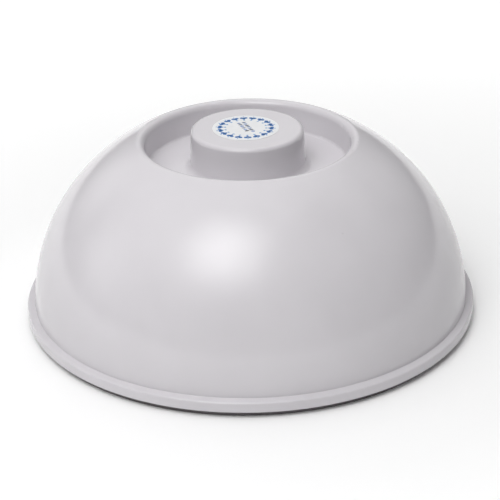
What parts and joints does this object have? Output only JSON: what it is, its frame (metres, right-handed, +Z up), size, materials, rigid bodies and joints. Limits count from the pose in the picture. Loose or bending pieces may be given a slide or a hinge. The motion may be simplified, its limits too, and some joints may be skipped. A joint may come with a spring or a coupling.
{
  "type": "humidity dome tray",
  "caption": "Round opaque dome with a sunk well and a hollow grip knob, standing over the rim of a shallow tray that holds a perforated riser plate.",
  "frame": {"origin": "on the axis of the round object, at the level that the tray stands on", "axes": "+Z up along the axis of the dome and tray; +X and +Y across, with the label a little off the axis towards -X"},
  "size_m": [0.28, 0.28, 0.1189],
  "materials": {
    "dome_plastic": "smooth satin gloss, opaque pale lavender white",
    "label_film": "satin printed film, white with a blue ring",
    "tray_plastic": "fine moulded grain, charcoal",
    "riser_plastic": "fine moulded grain, mid grey"
  },
  "bodies": {
    "tray": {"tray": "tray_plastic"},
    "dome": {"dome_shell": "dome_plastic", "grip_label": "label_film"},
    "riser": {"riser_plate": "riser_plastic"}
  },
  "joints": [
    {"name": "dome_lift", "type": "slide", "parent": "tray", "child": "dome", "axis": [0, 0, 1], "range_m": [0, 0.13]},
    {"name": "riser_lift", "type": "slide", "parent": "tray", "child": "riser", "axis": [0, 0, 1], "range_m": [0, 0.028]}
  ]
}
